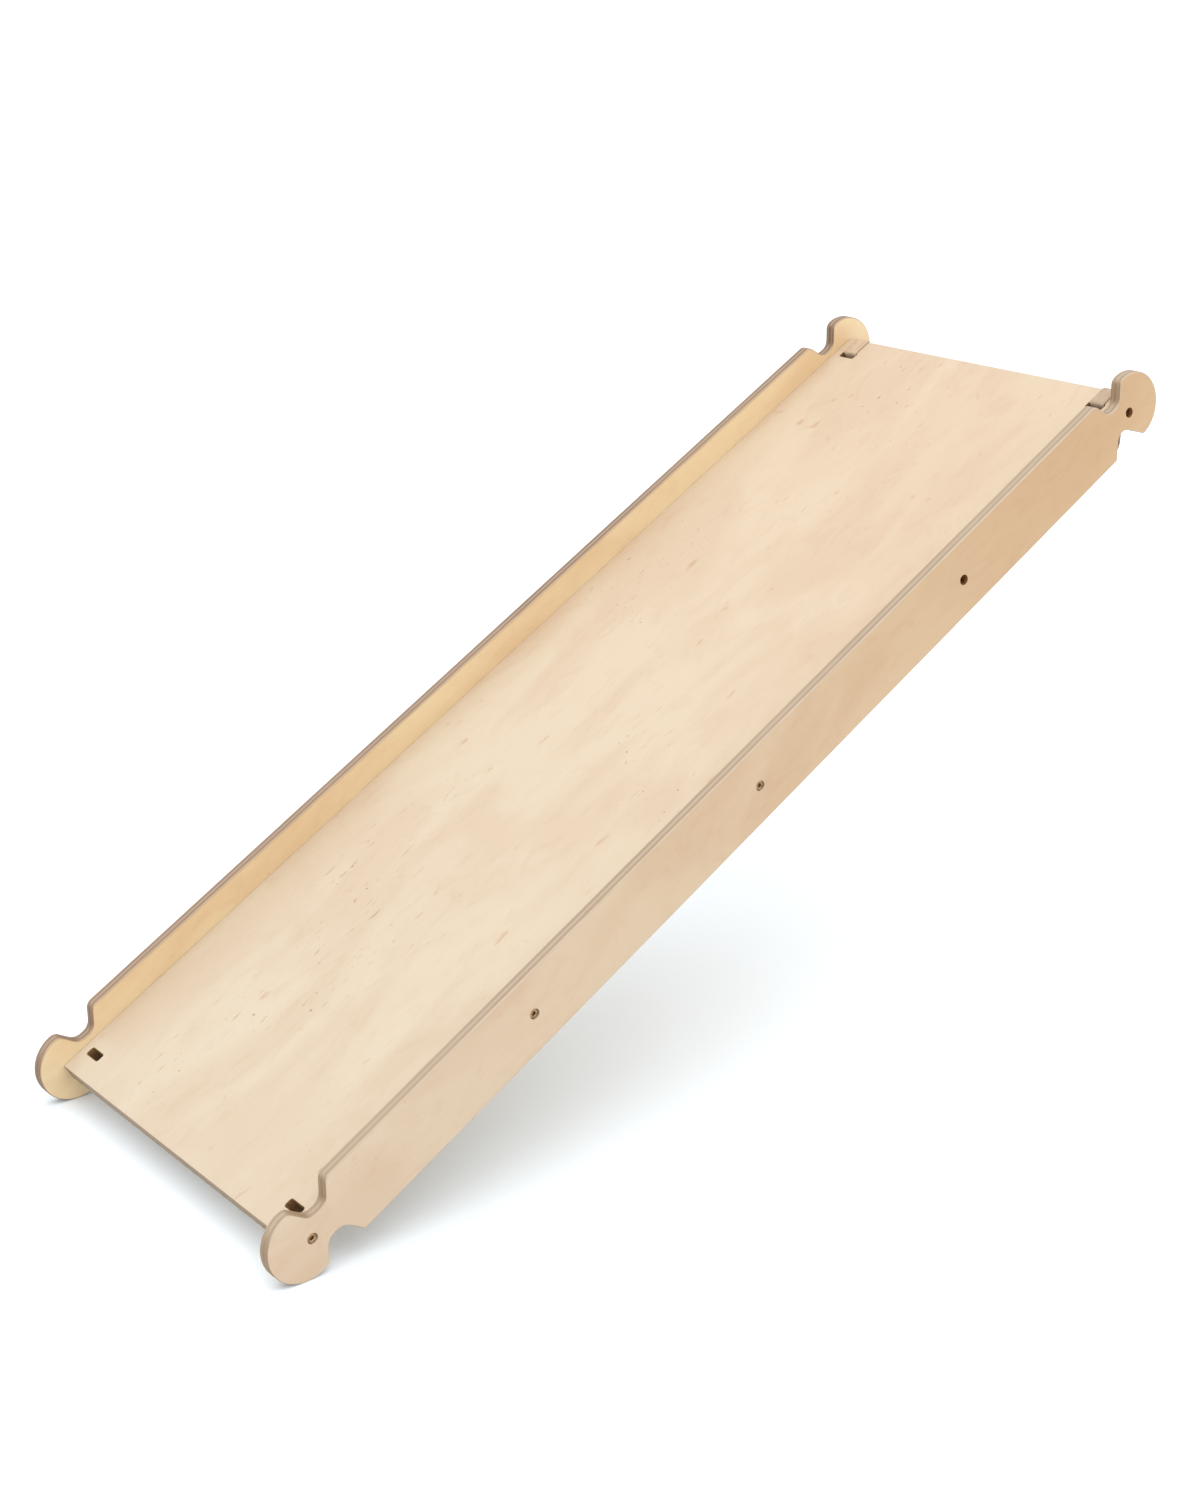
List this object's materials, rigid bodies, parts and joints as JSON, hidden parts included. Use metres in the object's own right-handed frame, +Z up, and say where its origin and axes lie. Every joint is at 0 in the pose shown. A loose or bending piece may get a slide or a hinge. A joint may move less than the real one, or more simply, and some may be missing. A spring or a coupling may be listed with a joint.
{
  "type": "toddler slide",
  "caption": "Low plywood slide board for toddlers: a flat panel between two side rails with round knobs, hooks that hang over a rung, and securing straps.",
  "frame": {"origin": "middle of the axis of the rung that the hooks hang over, half way between the two rails", "axes": "+X across the slide along the rung, +Y level and towards the upper end, +Z up; the slide is stored in use, tilted 30 degrees, and its lower knobs touch a floor at z = -0.5515 m"},
  "size_m": [0.419, 1.0311, 0.6244],
  "materials": {
    "rail_plywood": "satin",
    "panel_plywood": "satin",
    "screw_metal": "satin",
    "strap_webbing": "matte"
  },
  "bodies": {
    "root": {"rail_left": "rail_plywood", "rail_right": "rail_plywood", "slide_panel": "panel_plywood", "rail_screw_left_1": "screw_metal", "rail_screw_left_2": "screw_metal", "rail_screw_left_3": "screw_metal", "rail_screw_left_4": "screw_metal", "rail_screw_left_5": "screw_metal", "rail_screw_right_1": "screw_metal", "rail_screw_right_2": "screw_metal", "rail_screw_right_3": "screw_metal", "rail_screw_right_4": "screw_metal", "rail_screw_right_5": "screw_metal", "strap_left": "strap_webbing", "strap_right": "strap_webbing"}
  },
  "joints": []
}
